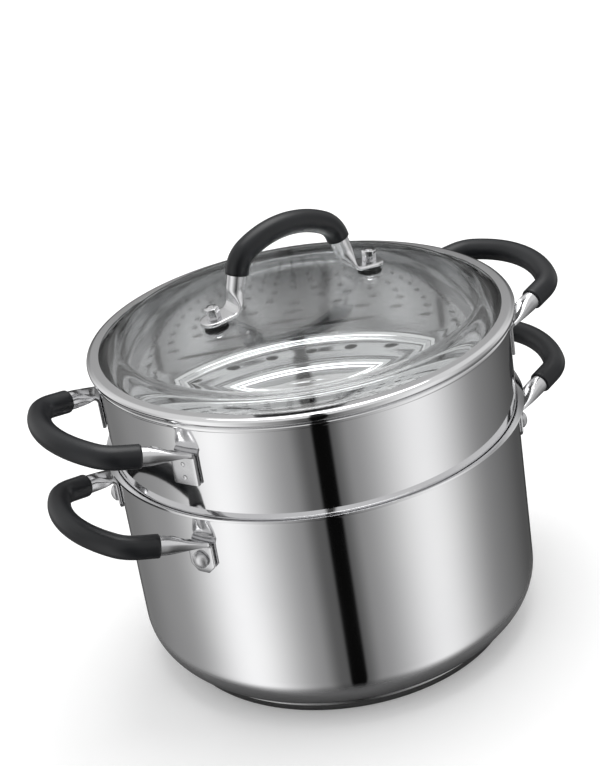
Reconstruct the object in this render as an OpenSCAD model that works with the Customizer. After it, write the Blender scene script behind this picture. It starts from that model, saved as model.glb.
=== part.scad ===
// Stockpot with a steamer insert and a glass lid, stacked as it stands on a cooker.
// Handles lie along X, the table is z = 0, and the pot's axis is the Z axis.

/* [Pot] */
// Inside diameter of the pot, which the insert shares
pot_bore = 240; // [210:1:280]
// Height of the pot from the table to the top of its lip
pot_height = 140; // [120:1:180]
// Thickness of the pot's drawn sheet
pot_sheet = 1; // [0.8:0.1:1.4]
// Radius of the bend between the wall and the bottom, at mid sheet
pot_corner = 26; // [15:1:32]
// Radius of the bend that turns the lip outwards, at mid sheet
lip_bend = 3; // [2.5:0.1:4]
// Length of the straight part of the lip
lip_length = 3; // [2.5:0.1:5]
// Angle that the lip rises outwards
lip_rise = 20; // [10:1:30]

/* [Base disc] */
// Thickness of the bonded base
base_thick = 5; // [4:0.5:8]
// How far the base disc stops inside the outer wall
base_inset = 17; // [14:1:30]
// Rounding of the base disc's lower edge
base_round = 1.6; // [1:0.1:2]

/* [Steamer insert] */
// Depth of the insert from its rim down to its ledge
steamer_depth = 60; // [50:1:90]
// Depth of the collar below the ledge, which enters the pot
collar_depth = 17; // [13:1:25]
// How far the collar stands inside the insert's wall
collar_inset = 6; // [5.8:0.1:9]
// Thickness of the insert's drawn sheet
steamer_sheet = 0.8; // [0.6:0.1:1]
// Radius of the bend between ledge and wall, at mid sheet
ledge_bend = 4; // [3:0.1:4.2]
// Radius of the bend between collar and ledge, at mid sheet
collar_bend = 1.6; // [1.2:0.1:1.6]
// Radius of the bend between collar and floor, at mid sheet
floor_bend = 5; // [3:0.5:7]
// Radius of the curl at the insert's rim, at mid sheet
rim_curl = 1.4; // [1.2:0.1:2]
// Angle by which that curl turns down past level
curl_down = 30; // [0:5:60]

/* [Steam holes] */
// Diameter of each steam hole
hole_d = 5; // [4:0.1:6]
// Distance between two rings of holes
ring_pitch = 15; // [12:0.5:18]
// Least width of plain floor outside the perforated middle
plain_floor = 14; // [12:0.5:24]
// Holes that each ring has more than the ring inside it
holes_step = 6; // [5:1:6]
// How far the perforated middle is pressed up
floor_lift = 1.5; // [1:0.1:3]
// Width of the slope round the perforated middle
lift_slope = 6; // [5.6:0.1:8]

/* [Side handles] */
// Angle at the axis between a handle's middle and its foot
foot_angle = 25.5; // [22:0.5:30]
// Distance from the rim down to the rivet
foot_drop = 28.5; // [26:0.5:34]
// Distance from the wall to the grip's outermost point
handle_reach = 48.5; // [46:0.5:60]
// Angle that a side handle rises outwards
handle_rise = 12; // [8:1:20]
// Angle by which a leg leans towards the handle's middle
leg_toe = 16; // [10:1:18]
// Radius of the bends in a side handle, at mid tube
handle_bend = 18; // [15:1:22]
// Angle over which each half of its crowned middle curves
handle_crown = 30; // [20:1:36]

/* [Handle tube] */
// Outside diameter of the handle tubes
tube_d = 11; // [9:0.5:12]
// Width of a tube pressed flat
flat_width = 16.5; // [14:0.5:18]
// Thickness of a tube pressed flat
flat_thick = 2.4; // [2:0.1:3]
// Inside radius of the bend in the flat
foot_bend = 2; // [1.5:0.1:3]
// Distance from the fastening to that bend
foot_lead = 8; // [7.5:0.5:10]
// Inside radius of the softer bend in the lid handle's flat
lid_foot_bend = 4; // [3:0.5:5]
// Distance from a bolt to that bend
lid_foot_lead = 9.5; // [8:0.5:12]
// Distance from the fastening to the flat's end
foot_tail = 8.5; // [8:0.5:10]
// Cut across each corner of a riveted flat's end
foot_cut = 4.5; // [3:0.5:6]
// Round tube left bare between a pressed end and its grip
bare_tube = 3; // [1.5:0.5:5]
// Depth of the crease that the pressing leaves
crease_depth = 1.8; // [0:0.1:2.5]

/* [Grips] */
// Outside diameter of the moulded grips
grip_d = 13.5; // [13:0.1:16]
// Straight tube held inside each end of a side grip
grip_cover = 11.5; // [8:0.5:14]
// Straight tube held inside each end of the lid's grip
lid_grip_cover = 2.5; // [2:0.5:4]
// Rounding of a grip's end
grip_round = 1.2; // [0.8:0.1:1.8]

/* [Rivets] */
// Diameter of a rivet's head
rivet_head_d = 10; // [8:0.5:12]
// Height of a rivet's head
rivet_head_h = 4; // [3:0.1:5]
// Height of the straight edge of that head
rivet_edge = 1.4; // [1:0.1:2]
// Diameter of a rivet's shank
rivet_d = 5; // [4:0.1:6]
// Diameter of each weld dimple in the insert's handles
weld_d = 3; // [2:0.1:4]
// Distance between the two dimples
weld_gap = 8; // [7:0.5:9]
// Depth of a dimple
weld_depth = 0.5; // [0.2:0.1:0.8]

/* [Lid] */
// Thickness of the glass
glass_thick = 4; // [3.5:0.1:5]
// Rise of the dome, without its shoulder
dome_rise = 15; // [10:1:24]
// Power of the dome's curve, higher is flatter in the middle
dome_power = 2.2; // [2:0.1:3]
// Rise of the shoulder round the dome
shoulder_rise = 4.5; // [2:0.5:5]
// Width of that shoulder
shoulder_width = 12; // [10:0.5:16]
// Thickness of the steel band's sheet
band_sheet = 0.6; // [0.4:0.1:0.8]
// Width of glass that the band covers
band_cover = 4.7; // [4.2:0.1:7]
// Depth of the skirt that enters the rim
skirt_depth = 7; // [5:0.5:10]
// Radius of the bend above the skirt, at mid sheet
skirt_bend = 1; // [0.8:0.1:1.2]

/* [Lid handle] */
// Distance between the two bolts
bolt_span = 105; // [98:1:115]
// Height of the grip's top above the handle's feet
arch_height = 48; // [46:1:56]
// Angle by which a leg of the arch leans inwards
arch_toe = 16; // [10:1:20]
// Radius of the bends in the arch, at mid tube
arch_bend = 17; // [14:1:20]
// Angle over which each half of its crowned middle curves
arch_crown = 29; // [24:1:34]
// Diameter of each bolt
bolt_d = 4; // [3:0.1:5]
// Diameter of the hole in the glass
glass_hole_d = 7; // [6.5:0.1:8]
// Width of a hexagon nut across its flats
nut_width = 7.5; // [7:0.1:9]
// Height of a nut
nut_height = 6.5; // [4:0.1:7]
// Outside diameter of the rubber gaskets
gasket_d = 14; // [12:0.5:16]
// Thickness of a gasket
gasket_thick = 1.6; // [1:0.1:2.5]
// Outside diameter of the steel washers
washer_d = 12; // [10:0.5:14]
// Thickness of a washer
washer_thick = 1; // [0.8:0.1:1.5]
// Height of a bolt's head under the lid
bolt_head_h = 2.6; // [2:0.1:3.5]
// Chamfer round a bolt's head
bolt_chamfer = 1; // [0.5:0.1:1.5]
// Width of washer left bare round the bolt's head
washer_rim = 1.5; // [1:0.1:2]

/* [Fits] */
// Clearance where one piece rests on another
seat_gap = 0.2; // [0.1:0.05:0.3]
// Clearance round a shank, a tube or the glass's edge
slip_gap = 0.1; // [0.05:0.05:0.2]
// Clearance between the lid's skirt and the rim
skirt_gap = 1.2; // [0.8:0.1:2]

/* [Hidden] */
round_fn = 180;
small_fn = 48;
hole_fn = 24;
bend_steps = 6;
ring_points = 24;
press_rings = 9;
flat_power = 0.35;
cut_margin = 1;
joint_length = 1;
press_lap = 0.4;
joint_space = 0.15;
joint_lap = 0.05;

steel = [0.80, 0.81, 0.82];
dark_rubber = [0.14, 0.15, 0.16];
clear_glass = [0.86, 0.89, 0.90, 0.45];

// Pot: the sheet's middle line
pot_mid = pot_bore / 2 + pot_sheet / 2;
pot_out = pot_bore / 2 + pot_sheet;
lip_end = 90 + lip_rise;
lip_tall = lip_bend * sin(lip_end) + lip_length * sin(lip_rise) + pot_sheet / 2 * cos(lip_rise);
lip_z = pot_height - lip_tall;
lip_center_r = pot_mid + lip_bend;
lip_out = lip_center_r + lip_bend * cos(lip_end) + lip_length * cos(lip_rise);

// Insert: its rounded ledge rests on the inner curve of the pot's lip
steamer_mid = pot_bore / 2 + steamer_sheet / 2;
steamer_out = pot_bore / 2 + steamer_sheet;
collar_mid = steamer_mid - collar_inset;
seat_reach = ledge_bend + steamer_sheet / 2 + lip_bend + pot_sheet / 2 + seat_gap;
seat_across = lip_center_r - (steamer_mid - ledge_bend);
ledge_center_z = lip_z + sqrt(pow(seat_reach, 2) - pow(seat_across, 2));
ledge_z = ledge_center_z - ledge_bend;
floor_z = ledge_z - collar_depth;
steamer_top = ledge_z + steamer_depth;
curl_z = steamer_top - rim_curl - steamer_sheet / 2;
hole_rings = floor((collar_mid - floor_bend - plain_floor - lift_slope / 2) / ring_pitch);
lift_inner = ring_pitch * hole_rings - lift_slope / 2;

// Lid: its band rests on the insert's curled rim
band_z = steamer_top + seat_gap + band_sheet / 2;
skirt_mid = pot_bore / 2 - skirt_gap - band_sheet / 2;
band_turn = (glass_thick + band_sheet) / 2 + slip_gap;
lid_out = lip_out;
turn_r = lid_out - band_turn - band_sheet / 2;
glass_out = turn_r;
glass_z = band_z + band_sheet / 2 + slip_gap;
dome_r = glass_out - band_cover - cut_margin;
dome_z = glass_z + glass_thick;
dome_steps = 14;

// Side handles: the foot stands on the wall, and the tube bows out in a sloping plane
tube_r = tube_d / 2;
grip_r = grip_d / 2;
flat_mid = seat_gap + flat_thick / 2;
bend_mid = foot_bend + flat_thick / 2;
side_heading = [
    cos(leg_toe) * sin(handle_rise),
    cos(leg_toe) * cos(handle_rise) * sin(foot_angle) + sin(leg_toe) * cos(foot_angle),
    cos(leg_toe) * cos(handle_rise) * cos(foot_angle) - sin(leg_toe) * sin(foot_angle),
];
side_turn = atan2(side_heading.z, side_heading.x);
side_start_r = flat_mid + bend_mid * (1 - cos(side_turn));
side_start_z = foot_lead + bend_mid * sin(side_turn);

// Lid handle: each foot lies on the dome's slope
bolt_r = bolt_span / 2;
foot_slope = atan(dome_rise * dome_power / dome_r * pow(bolt_r / dome_r, dome_power - 1));
lid_flat_mid = gasket_thick + seat_gap + flat_thick / 2;
lid_bend_mid = lid_foot_bend + flat_thick / 2;
arch_turn = 90 - arch_toe - foot_slope;
arch_foot_x = lid_foot_lead + lid_bend_mid * sin(arch_turn);
arch_foot_z = lid_flat_mid + lid_bend_mid * (1 - cos(arch_turn));
arch_x = bolt_r - arch_foot_x * cos(foot_slope) + arch_foot_z * sin(foot_slope);
arch_z = dome_height(bolt_r) + arch_foot_x * sin(foot_slope) + arch_foot_z * cos(foot_slope);
arch_reach = arch_height - grip_r - (arch_foot_z - lid_flat_mid) - flat_thick;
arch_press = bow_leg(arch_x, arch_reach, arch_toe, arch_crown, arch_bend) - lid_grip_cover - bare_tube;

function smooth(share) = share * share * (3 - 2 * share);
function dome_height(r) =
    dome_z + dome_rise * (1 - pow(r / dome_r, dome_power))
    + shoulder_rise * smooth(min(1, (dome_r - r) / shoulder_width));

// Points along an arc in a profile, from one angle to another
function arc(center, radius, from, to, steps = bend_steps) = [
    for (i = [0 : steps])
        let (angle = from + (to - from) * i / steps)
        [center.x + radius * cos(angle), center.y + radius * sin(angle)]
];

function unit(v) = v / norm(v);
function left_of(v) = [-v.y, v.x];

// A line moved sideways by a distance, with mitred corners
function beside(line, distance) = [
    for (i = [0 : len(line) - 1])
        let (
            before = left_of(unit(line[max(i, 1)] - line[max(i, 1) - 1])),
            next = min(i, len(line) - 2),
            after = left_of(unit(line[next + 1] - line[next])),
            middle = unit(before + after)
        )
        line[i] + middle * distance / (middle * after)
];

function backwards(list) = [for (i = [len(list) - 1 : -1 : 0]) list[i]];

// A sheet of even thickness along a middle line, turned about Z
module spun_sheet(line, thick) {
    rotate_extrude($fn = round_fn)
        polygon(concat(beside(line, -thick / 2), backwards(beside(line, thick / 2))));
}

// Drawn shell with a rounded bottom and a lip that flares
function pot_line() = concat(
    [[0, base_thick + pot_sheet / 2]],
    arc([pot_mid - pot_corner, base_thick + pot_sheet / 2 + pot_corner], pot_corner, -90, 0, 10),
    arc([lip_center_r, lip_z], lip_bend, 180, lip_end),
    [[lip_out, lip_z + lip_bend * sin(lip_end) + lip_length * sin(lip_rise)]]
);

module pot_body() {
    color(steel)
        spun_sheet(pot_line(), pot_sheet);
}

// Flat bonded disc under the pot
module base_disc() {
    disc_r = pot_out - base_inset;
    color(steel)
        rotate_extrude($fn = round_fn)
            polygon(concat(
                [[0, 0]],
                arc([disc_r - base_round, base_round], base_round, -90, 0),
                [[disc_r, base_thick - base_round / 2], [disc_r - base_round / 2, base_thick], [0, base_thick]]
            ));
}

// Stepped shell: perforated floor, collar, ledge, wall and curled rim
function steamer_line() = concat(
    [
        [0, floor_z + floor_lift],
        [lift_inner, floor_z + floor_lift],
        [lift_inner + lift_slope, floor_z],
    ],
    arc([collar_mid - floor_bend, floor_z + floor_bend], floor_bend, -90, 0),
    arc([collar_mid + collar_bend, ledge_z - collar_bend], collar_bend, 180, 90),
    arc([steamer_mid - ledge_bend, ledge_center_z], ledge_bend, -90, 0),
    arc([steamer_mid + rim_curl, curl_z], rim_curl, 180, -curl_down, 9)
);

module steam_holes() {
    for (ring = [1 : hole_rings])
        for (i = [0 : ring * holes_step - 1])
            rotate(i * 360 / (ring * holes_step))
                translate([ring * ring_pitch, 0, floor_z - floor_lift - cut_margin])
                    cylinder(h = 3 * floor_lift + 2 * cut_margin, d = hole_d, $fn = hole_fn);
}

module steamer_body() {
    color(steel)
        difference() {
            spun_sheet(steamer_line(), steamer_sheet);
            steam_holes();
        }
}

// Straight round bar along Z, whose start is rounded or square
module rod(radius, length, rounding) {
    start = rounding > 0 ? arc([radius - rounding, rounding], rounding, -90, 0, 4) : [[radius, 0]];
    rotate_extrude($fn = small_fn)
        polygon(concat([[0, 0]], start, [[radius, length], [0, length]]));
}

// Bow of round bar in the XY plane: a leg leans in by its toe from x = 0, a bend follows, and an arc crowns the middle
// at x = reach. The bar starts a given cover before the bend. A thin joint ring over each end of a bend makes the
// stretches one solid.
function bend_out(toe, crown, radius) = radius * (cos(crown) - sin(toe));
function bend_in(toe, crown, radius) = radius * (cos(toe) - sin(crown));
function crown_r(half, reach, toe, crown, radius) =
    (half - bend_in(toe, crown, radius) - tan(toe) * (reach - bend_out(toe, crown, radius)))
    / (sin(crown) - tan(toe) * (1 - cos(crown)));
function bow_leg(half, reach, toe, crown, radius) =
    (reach - bend_out(toe, crown, radius) - crown_r(half, reach, toe, crown, radius) * (1 - cos(crown))) / cos(toe);

module joint_ring(bar) {
    cylinder(h = joint_length, r = bar + joint_lap, center = true, $fn = small_fn);
}

module bow(half, reach, toe, crown, radius, cover, bar, rounding) {
    leg = bow_leg(half, reach, toe, crown, radius);
    top_r = crown_r(half, reach, toe, crown, radius);
    top_angle = crown - asin(joint_space / top_r);
    for (side = [0, 1])
        mirror([0, side, 0])
            translate([0, half, 0])
                rotate([0, 0, -toe]) {
                    translate([leg - cover, 0, 0])
                        rotate([0, 90, 0])
                            rod(bar, cover - joint_space, rounding);
                    translate([leg, 0, 0])
                        rotate([0, 90, 0])
                            joint_ring(bar);
                    translate([leg, -radius, 0]) {
                        rotate(crown + toe)
                            rotate_extrude(angle = 90 - toe - crown, $fn = round_fn)
                                translate([radius, 0])
                                    circle(bar, $fn = small_fn);
                        rotate(crown + toe)
                            translate([radius, 0, 0])
                                rotate([90, 0, 0])
                                    joint_ring(bar);
                    }
                }
    translate([reach - top_r, 0, 0])
        rotate(-top_angle)
            rotate_extrude(angle = 2 * top_angle, $fn = round_fn)
                translate([top_r, 0])
                    circle(bar, $fn = small_fn);
}

// One section of the pressed tube end, from flat (0) to round (1)
function press_ring(origin, heading, turn, length, share) =
    let (
        flat_up = [-sin(turn), 0, cos(turn)],
        side = unit([0, 1, 0] - heading * heading.y),
        across = unit([0, 1, 0] * (1 - share) + side * share),
        up = unit(flat_up * (1 - share) + cross(heading, side) * share),
        ease = smooth(share),
        half_w = (flat_width / 2 * (1 - ease) + tube_r * ease) - joint_lap,
        half_t = (flat_thick / 2 * (1 - ease) + tube_r * ease) - joint_lap,
        power = flat_power * (1 - ease) + ease,
        dent = crease_depth * sin(180 * share)
    )
    [
        for (i = [0 : ring_points - 1])
            let (
                angle = 360 * i / ring_points,
                x = half_w * sign(cos(angle)) * pow(abs(cos(angle)), power),
                z = half_t * sign(sin(angle)) * pow(abs(sin(angle)), power),
                fall = z < 0 ? dent * pow(max(0, 1 - pow(2 * x / half_w, 2)), 2) : 0
            )
            origin + heading * (length * share - joint_space * (1 - share)) + across * x + up * (z + fall)
    ];

module pressed_end(origin, heading, turn, length) {
    last = press_rings - 1;
    points = [for (k = [0 : last]) each press_ring(origin, heading, turn, length, k / last)];
    walls = [
        for (k = [0 : last - 1])
            for (i = [0 : ring_points - 1])
                let (a = k * ring_points + i, b = k * ring_points + (i + 1) % ring_points)
                each [[a, a + ring_points, b + ring_points], [a, b + ring_points, b]]
    ];
    first_cap = [for (i = [0 : ring_points - 1]) i];
    last_cap = [for (i = [ring_points - 1 : -1 : 0]) last * ring_points + i];
    polyhedron(points = points, faces = concat([first_cap], walls, [last_cap]), convexity = 4);
}

// Side view of a foot: a flat that starts at the tail and bends up by an angle
module foot_profile(mid, turn, lead, bend) {
    center = [lead, mid + bend];
    polygon(concat(
        [[-foot_tail, mid - flat_thick / 2]],
        arc(center, bend + flat_thick / 2, -90, turn - 90),
        arc(center, bend - flat_thick / 2, turn - 90, -90),
        [[-foot_tail, mid + flat_thick / 2]]
    ));
}

// Foot on the XY plane, fastened at the origin, bending up towards +X and pressed to a tube over a given length.
// The child is the outline of its flat.
module foot(mid, heading, lead, bend, length) {
    turn = atan2(heading.z, heading.x);
    start = [lead + bend * sin(turn), 0, mid + bend * (1 - cos(turn))];
    intersection() {
        rotate([90, 0, 0])
            linear_extrude(flat_width, center = true)
                foot_profile(mid, turn, lead, bend);
        linear_extrude(bend + 2 * flat_width)
            children();
    }
    pressed_end(start, heading, turn, length);
}

// Outline of a foot with two cut corners
module cut_foot() {
    half = flat_width / 2;
    beyond = foot_lead + flat_width;
    polygon([
        [beyond, -half], [beyond, half],
        [foot_cut - foot_tail, half], [-foot_tail, half - foot_cut],
        [-foot_tail, foot_cut - half], [foot_cut - foot_tail, -half],
    ]);
}

// Outline of a foot with a round end
module round_foot() {
    half = flat_width / 2;
    beyond = lid_foot_lead + flat_width;
    polygon(concat(arc([half - foot_tail, 0], half, 90, 270, 16), [[beyond, -half], [beyond, half]]));
}

// Places a foot's frame on the wall, with +X up and +Z outwards
module on_wall(wall, top) {
    for (side = [0, 1])
        mirror([0, side, 0])
            translate([0, 0, top - foot_drop])
                rotate([0, -90, foot_angle + 180])
                    translate([0, 0, wall])
                        children();
}

// Places the bow's plane where the pressed ends leave off
module in_handle_plane(wall, top) {
    start_r = wall + side_start_r;
    translate([start_r * cos(foot_angle), 0, top - foot_drop + side_start_z])
        rotate([0, -handle_rise, 0])
            children();
}

function side_half(wall) = (wall + side_start_r) * sin(foot_angle);
function side_reach(wall) =
    (wall + handle_reach - grip_r - (wall + side_start_r) * cos(foot_angle)) / cos(handle_rise);
function side_press(wall) =
    bow_leg(side_half(wall), side_reach(wall), leg_toe, handle_crown, handle_bend) - grip_cover - bare_tube;

module side_bow(wall, top, cover, bar, rounding) {
    in_handle_plane(wall, top)
        bow(side_half(wall), side_reach(wall), leg_toe, handle_crown, handle_bend, cover, bar, rounding);
}

module side_tube(wall, top) {
    side_bow(wall, top, grip_cover + bare_tube + press_lap, tube_r, 0);
}

module side_grip(wall, top) {
    color(dark_rubber)
        difference() {
            side_bow(wall, top, grip_cover, grip_r, grip_round);
            side_bow(wall, top, grip_cover + cut_margin, tube_r + slip_gap, 0);
        }
}

module pot_handle() {
    color(steel) {
        side_tube(pot_out, pot_height);
        on_wall(pot_out, pot_height)
            difference() {
                foot(flat_mid, side_heading, foot_lead, bend_mid, side_press(pot_out))
                    cut_foot();
                cylinder(h = flat_thick + 2 * cut_margin, d = rivet_d + 2 * slip_gap, $fn = small_fn);
            }
    }
}

// Rivet that stands on the wall, with its shank through the foot
module rivet() {
    foot_top = seat_gap + flat_thick + slip_gap;
    sagitta = rivet_head_h - rivet_edge;
    head_r = rivet_head_d / 2;
    cap_r = (head_r * head_r + sagitta * sagitta) / (2 * sagitta);
    cap_z = foot_top + rivet_head_h - cap_r;
    cap_angle = asin(head_r / cap_r);
    rotate_extrude($fn = small_fn)
        polygon(concat(
            [[0, slip_gap], [rivet_d / 2, slip_gap], [rivet_d / 2, foot_top], [head_r, foot_top]],
            arc([0, cap_z], cap_r, 90 - cap_angle, 90)
        ));
}

module pot_rivets() {
    color(steel)
        on_wall(pot_out, pot_height)
            rivet();
}

module steamer_handle() {
    color(steel) {
        side_tube(steamer_out, steamer_top);
        on_wall(steamer_out, steamer_top)
            difference() {
                foot(flat_mid, side_heading, foot_lead, bend_mid, side_press(steamer_out))
                    translate([-foot_tail, -flat_width / 2])
                        square([foot_tail + foot_lead + flat_width, flat_width]);
                for (end = [-1, 1])
                    translate([end * weld_gap / 2, 0, seat_gap + flat_thick - weld_depth])
                        cylinder(h = flat_thick, d = weld_d, $fn = small_fn);
            }
    }
}

module right_side() {
    children();
}

module left_side() {
    rotate(180)
        children();
}

// Places a frame on the dome at each bolt, with +X towards the middle and +Z off the glass
module on_dome() {
    for (side = [0, 1])
        mirror([side, 0, 0])
            translate([bolt_r, 0, dome_height(bolt_r)])
                rotate([0, -foot_slope, 180])
                    children();
}

module in_arch_plane() {
    translate([0, 0, arch_z])
        rotate([0, -90, 90])
            children();
}

module arch_bow(cover, bar, rounding) {
    in_arch_plane()
        bow(arch_x, arch_reach, arch_toe, arch_crown, arch_bend, cover, bar, rounding);
}

module lid_handle() {
    color(steel) {
        arch_bow(lid_grip_cover + bare_tube + press_lap, tube_r, 0);
        on_dome()
            difference() {
                foot(lid_flat_mid, [cos(arch_turn), 0, sin(arch_turn)], lid_foot_lead, lid_bend_mid, arch_press)
                    round_foot();
                cylinder(h = lid_flat_mid + 2 * flat_thick, d = bolt_d + 2 * slip_gap, $fn = small_fn);
            }
    }
}

module lid_grip() {
    color(dark_rubber)
        difference() {
            arch_bow(lid_grip_cover, grip_r, grip_round);
            arch_bow(lid_grip_cover + cut_margin, tube_r + slip_gap, 0);
        }
}

// Toughened dome with a flat edge and two bolt holes
module lid_glass() {
    outer = [
        for (r = concat(
            [for (i = [0 : dome_steps - 1]) (dome_r - shoulder_width) * i / dome_steps],
            [for (i = [0 : bend_steps]) dome_r - shoulder_width * (1 - i / bend_steps)]
        ))
            [r, dome_height(r)]
    ];
    inner = [for (p = outer) [p.x, p.y - glass_thick]];
    color(clear_glass)
        difference() {
            rotate_extrude($fn = round_fn)
                polygon(concat(outer, [[glass_out, dome_z], [glass_out, glass_z]], backwards(inner)));
            on_dome()
                translate([0, 0, -2 * glass_thick])
                    cylinder(h = 4 * glass_thick, d = glass_hole_d, $fn = small_fn);
        }
}

// Folded band: skirt, seat, turn round the glass and top flange
function band_line() = concat(
    [[skirt_mid, band_z - skirt_depth]],
    arc([skirt_mid + skirt_bend, band_z - skirt_bend], skirt_bend, 180, 90, 4),
    arc([turn_r, band_z + band_turn], band_turn, -90, 90, 8),
    [[glass_out - band_cover, band_z + 2 * band_turn]]
);

module lid_band() {
    color(steel)
        spun_sheet(band_line(), band_sheet);
}

// Flat ring on the dome's frame, from one height up
module bolt_ring(outside, inside, from, thick) {
    translate([0, 0, from])
        difference() {
            cylinder(h = thick, d = outside, $fn = small_fn);
            translate([0, 0, -cut_margin])
                cylinder(h = thick + 2 * cut_margin, d = inside, $fn = small_fn);
        }
}

module lid_gaskets_upper() {
    color(dark_rubber)
        on_dome()
            bolt_ring(gasket_d, bolt_d + 2 * slip_gap, seat_gap / 2, gasket_thick);
}

module lid_gaskets_lower() {
    color(dark_rubber)
        on_dome()
            bolt_ring(gasket_d, bolt_d + 2 * slip_gap, -glass_thick - seat_gap - gasket_thick, gasket_thick);
}

module lid_washers() {
    color(steel)
        on_dome()
            bolt_ring(washer_d, bolt_d + 2 * slip_gap,
                -glass_thick - seat_gap - gasket_thick - washer_thick, washer_thick);
}

module lid_nuts() {
    color(steel)
        on_dome()
            translate([0, 0, lid_flat_mid + flat_thick / 2])
                difference() {
                    cylinder(h = nut_height, d = nut_width / cos(30), $fn = 6);
                    translate([0, 0, -cut_margin])
                        cylinder(h = nut_height + 2 * cut_margin, d = bolt_d + 2 * slip_gap, $fn = small_fn);
                }
}

module lid_bolts() {
    head_top = -glass_thick - seat_gap - gasket_thick - washer_thick;
    head_r = washer_d / 2 - washer_rim;
    top = lid_flat_mid + flat_thick / 2 + nut_height - slip_gap;
    color(steel)
        on_dome()
            rotate_extrude($fn = small_fn)
                polygon([
                    [0, head_top - bolt_head_h], [head_r - bolt_chamfer, head_top - bolt_head_h],
                    [head_r, head_top - bolt_head_h + bolt_chamfer], [head_r, head_top],
                    [bolt_d / 2, head_top], [bolt_d / 2, top], [0, top],
                ]);
}

pot_body();
base_disc();
left_side() pot_handle();  // pot_handle_left
right_side() pot_handle();  // pot_handle_right
left_side() side_grip(pot_out, pot_height);  // pot_grip_left
right_side() side_grip(pot_out, pot_height);  // pot_grip_right
left_side() pot_rivets();  // pot_rivets_left
right_side() pot_rivets();  // pot_rivets_right
steamer_body();
left_side() steamer_handle();  // steamer_handle_left
right_side() steamer_handle();  // steamer_handle_right
left_side() side_grip(steamer_out, steamer_top);  // steamer_grip_left
right_side() side_grip(steamer_out, steamer_top);  // steamer_grip_right
lid_glass();
lid_band();
lid_handle();
lid_grip();
lid_nuts();
lid_bolts();
lid_gaskets_upper();
lid_gaskets_lower();
lid_washers();
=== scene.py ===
import math
import bmesh
import bpy
from mathutils import Matrix, Quaternion, Vector

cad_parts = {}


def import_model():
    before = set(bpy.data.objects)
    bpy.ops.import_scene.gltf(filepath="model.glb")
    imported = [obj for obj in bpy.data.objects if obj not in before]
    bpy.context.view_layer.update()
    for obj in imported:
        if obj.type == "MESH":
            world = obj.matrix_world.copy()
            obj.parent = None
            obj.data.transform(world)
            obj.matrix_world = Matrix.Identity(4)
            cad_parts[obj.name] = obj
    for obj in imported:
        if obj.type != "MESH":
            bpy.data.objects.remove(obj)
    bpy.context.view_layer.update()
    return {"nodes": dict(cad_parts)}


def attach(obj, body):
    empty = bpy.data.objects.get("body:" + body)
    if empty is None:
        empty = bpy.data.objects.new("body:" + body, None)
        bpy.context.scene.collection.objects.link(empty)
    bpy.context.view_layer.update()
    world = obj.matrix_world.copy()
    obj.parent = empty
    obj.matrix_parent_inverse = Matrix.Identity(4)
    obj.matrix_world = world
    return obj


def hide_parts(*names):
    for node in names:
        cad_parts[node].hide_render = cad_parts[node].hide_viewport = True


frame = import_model()
scene = bpy.context.scene
scene.view_settings.view_transform = "Standard"
mm = 0.001
print("frame loaded:", len(frame["nodes"]), "nodes")


def addObject(name, data):
    item = bpy.data.objects.new(name, data)
    scene.collection.objects.link(item)
    return item


# View

view = {
    "imageSize": (600, 766),
    "focalPixels": 1700,
    "azimuth": -28,  # degrees round from the front, below 0 to the left
    "elevation": 26.17,
    "distance": 1014.7 * mm,  # from the middle of the pot's rim
    "roll": 9.06,  # the pot's top leans to the left
    "rimPixel": (313.3, 413.7),
    "rimHeight": 140 * mm,
    "clip": (0.05, 50),  # nearest and farthest, in metres
}


def makeCamera():
    width, height = view["imageSize"]
    data = bpy.data.cameras.new("camera")
    data.lens = data.sensor_width * view["focalPixels"] / max(width, height)
    data.clip_start, data.clip_end = view["clip"]
    camera = addObject("camera", data)
    turn, rise = math.radians(view["azimuth"]), math.radians(view["elevation"])
    back = Vector((math.sin(turn) * math.cos(rise), -math.cos(turn) * math.cos(rise), math.sin(rise)))
    across = (view["rimPixel"][0] - width / 2) / view["focalPixels"]
    down = (view["rimPixel"][1] - height / 2) / view["focalPixels"]
    aside = Vector((across, -down, -1)).rotation_difference(Vector((0, 0, -1)))
    roll = Quaternion((0, 0, 1), -math.radians(view["roll"]))
    camera.rotation_mode = "QUATERNION"
    camera.rotation_quaternion = (-back).to_track_quat("-Z", "Y") @ roll @ aside
    camera.location = Vector((0, 0, view["rimHeight"])) + back * view["distance"]
    scene.camera = camera


makeCamera()
print("camera placed")

# Shader maths


def wireOperator(operation, swapped=False):  # swapped where the wire stands on the operator's right
    def apply(self, other):
        return self.maths(operation, *((other, self) if swapped else (self, other)))
    return apply


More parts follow.
